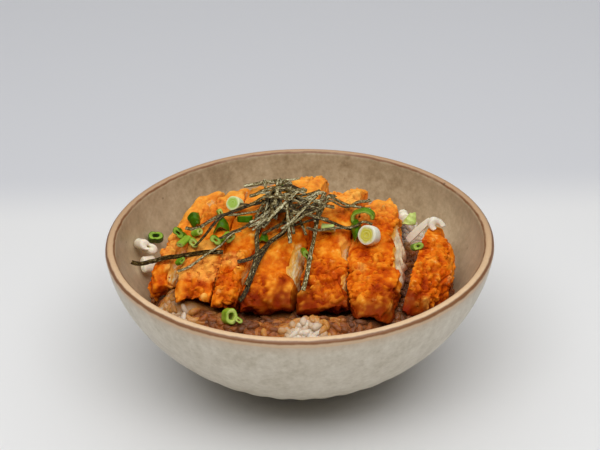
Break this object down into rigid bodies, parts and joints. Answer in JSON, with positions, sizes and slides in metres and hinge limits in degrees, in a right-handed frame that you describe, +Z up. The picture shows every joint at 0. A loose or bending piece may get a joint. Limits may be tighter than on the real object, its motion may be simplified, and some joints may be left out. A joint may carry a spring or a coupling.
{
  "type": "fried chicken rice bowl",
  "caption": "Round stoneware bowl of rice topped with crumbed fried chicken in slices, chopped spring onion and shredded nori.",
  "frame": {"origin": "middle of the foot ring's underside", "axes": "+Z up out of the bowl, -Y towards the front of the served food"},
  "size_m": [0.176, 0.176, 0.0888],
  "materials": {
    "stoneware": "satin speckled glaze with a brown rim",
    "cooked_rice": "moist, stained with sauce in front",
    "crumb_crust": "rough fried crumb, pale cut sides",
    "dried_nori": "dark olive brown with a light sheen",
    "green_onion": "moist",
    "white_onion": "moist"
  },
  "bodies": {
    "root": {"bowl": "stoneware", "rice": "cooked_rice", "chicken_slice_1": "crumb_crust", "chicken_slice_2": "crumb_crust", "chicken_slice_3": "crumb_crust", "chicken_slice_4": "crumb_crust", "chicken_slice_5": "crumb_crust", "chicken_slice_6": "crumb_crust", "chicken_slice_7": "crumb_crust", "nori_shreds": "dried_nori", "onion_white_wall_lower": "white_onion", "onion_white_wall": "white_onion", "onion_green_wall": "green_onion", "onion_leaf_back": "green_onion", "onion_ring_left": "green_onion", "onion_long_green": "green_onion", "onion_ring_front": "green_onion", "onion_ring_behind": "green_onion", "onion_pale_round": "green_onion", "onion_leaf_dark": "green_onion", "onion_curl_dark": "green_onion", "onion_bit_back": "green_onion", "onion_ring_middle": "green_onion", "onion_tube_middle": "green_onion", "onion_bit_seam": "green_onion", "onion_green_top": "green_onion", "onion_leaf_tangle": "green_onion", "onion_tube_upright": "green_onion", "onion_tube_pale": "green_onion", "onion_leaf_seam": "green_onion", "onion_curl_bright": "green_onion", "onion_white_round": "white_onion", "onion_white_clump": "white_onion", "onion_yellow_clump": "green_onion", "onion_green_gap": "green_onion", "onion_white_tip": "white_onion", "onion_tube_rice": "green_onion", "onion_bit_rice": "green_onion", "onion_white_sliver": "white_onion"}
  },
  "joints": []
}
